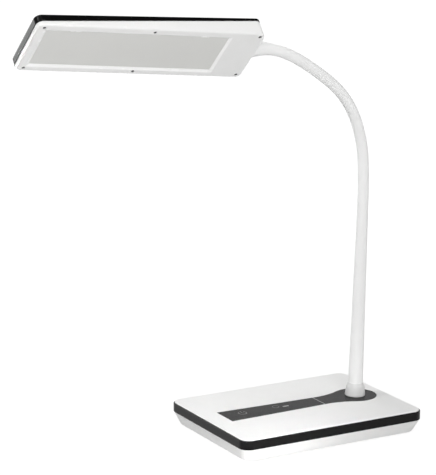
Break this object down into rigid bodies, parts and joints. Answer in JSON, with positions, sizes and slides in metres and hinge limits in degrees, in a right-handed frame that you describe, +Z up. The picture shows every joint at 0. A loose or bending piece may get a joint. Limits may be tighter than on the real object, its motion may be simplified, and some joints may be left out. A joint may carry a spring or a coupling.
{
  "type": "led desk lamp",
  "caption": "White desk lamp: weighted base with black band and dark touch panel, bendable gooseneck and a flat light head that rolls on the neck's end.",
  "frame": {"origin": "middle of the base on the table, at the lower face of the anti-slip pad", "axes": "+X along the base towards the neck, +Y to the rear with the power inlet, +Z up"},
  "size_m": [0.3848, 0.1484, 0.4245],
  "materials": {
    "white_plastic": "satin white moulding",
    "black_gloss": "polished black",
    "smoked_panel": "dark smoked sheet",
    "sleeve_white": "soft white sleeve",
    "steel": "plain",
    "brass": "plain",
    "board_green": "solder mask",
    "board_metal": "white-coated plate",
    "led_yellow": "phosphor",
    "opal": "opal diffusing sheet",
    "pad_rubber": "matt",
    "wire_red": "insulation",
    "dark_plastic": "moulded",
    "screw_dark": "dark zinc"
  },
  "bodies": {
    "base": {"base_top_cover": "white_plastic", "base_band": "black_gloss", "base_bottom_shell": "white_plastic", "base_weight": "steel", "base_pad": "pad_rubber", "base_screws": "steel", "touch_panel": "smoked_panel", "touch_board": "board_green", "driver_board": "board_green", "driver_parts": "dark_plastic", "dc_jack": "dark_plastic", "base_lead": "wire_red", "neck_collar": "white_plastic", "neck_stud": "steel", "neck_washer": "steel", "neck_nut": "steel", "neck_sleeve_1": "sleeve_white", "neck_core_1": "steel", "neck_lead_1": "wire_red"},
    "neck_2": {"neck_sleeve_2": "sleeve_white", "neck_core_2": "steel", "neck_lead_2": "wire_red"},
    "neck_3": {"neck_sleeve_3": "sleeve_white", "neck_core_3": "steel", "neck_lead_3": "wire_red"},
    "neck_4": {"neck_sleeve_4": "sleeve_white", "neck_core_4": "steel", "neck_lead_4": "wire_red"},
    "neck_5": {"neck_sleeve_5": "sleeve_white", "neck_core_5": "steel", "neck_lead_5": "wire_red"},
    "neck_6": {"neck_sleeve_6": "sleeve_white", "neck_core_6": "steel", "neck_lead_6": "wire_red"},
    "neck_7": {"neck_sleeve_7": "sleeve_white", "neck_core_7": "steel", "neck_lead_7": "wire_red"},
    "neck_8": {"neck_sleeve_8": "sleeve_white", "neck_core_8": "steel", "neck_lead_8": "wire_red"},
    "neck_9": {"neck_sleeve_9": "sleeve_white", "neck_core_9": "steel", "neck_lead_9": "wire_red", "neck_ferrule": "white_plastic", "swivel_spigot": "steel", "swivel_stop": "brass"},
    "head": {"head_lower_shell": "white_plastic", "head_band": "black_gloss", "head_top_cover": "white_plastic", "diffuser": "opal", "reflector_tray": "white_plastic", "led_board": "board_metal", "leds": "led_yellow", "board_screws": "steel", "swivel_block": "dark_plastic", "swivel_strap": "dark_plastic", "swivel_screws": "steel", "head_lead": "wire_red", "head_screws": "screw_dark"}
  },
  "joints": [
    {"name": "neck_bend_1", "type": "hinge", "parent": "base", "child": "neck_2", "pos_m": [0.0695, 0, 0.0742], "axis": [0, -1, 0], "range_deg": [-20, 10]},
    {"name": "neck_lean_1", "type": "hinge", "parent": "neck_2", "child": "neck_3", "pos_m": [0.0709, 0, 0.12018], "axis": [0.9995, 0, -0.0305], "range_deg": [-15, 15]},
    {"name": "neck_bend_2", "type": "hinge", "parent": "neck_3", "child": "neck_4", "pos_m": [0.07231, 0, 0.16616], "axis": [0, -1, 0], "range_deg": [-20, 10]},
    {"name": "neck_lean_2", "type": "hinge", "parent": "neck_4", "child": "neck_5", "pos_m": [0.07371, 0, 0.21214], "axis": [0.9995, 0, -0.0305], "range_deg": [-15, 15]},
    {"name": "neck_bend_3", "type": "hinge", "parent": "neck_5", "child": "neck_6", "pos_m": [0.07351, 0, 0.25813], "axis": [0, -1, 0], "range_deg": [-20, 10]},
    {"name": "neck_lean_3", "type": "hinge", "parent": "neck_6", "child": "neck_7", "pos_m": [0.06342, 0, 0.30274], "axis": [0.9188, 0, 0.3947], "range_deg": [-15, 15]},
    {"name": "neck_bend_4", "type": "hinge", "parent": "neck_7", "child": "neck_8", "pos_m": [0.0357, 0, 0.33886], "axis": [0, -1, 0], "range_deg": [-20, 10]},
    {"name": "neck_lean_4", "type": "hinge", "parent": "neck_8", "child": "neck_9", "pos_m": [-0.0024, 0, 0.36456], "axis": [0.4962, 0, 0.8682], "range_deg": [-15, 15]},
    {"name": "head_swivel", "type": "hinge", "parent": "neck_9", "child": "head", "pos_m": [-0.05414, 0, 0.37807], "axis": [0.995, 0, -0.1002], "range_deg": [-14, 106]}
  ]
}
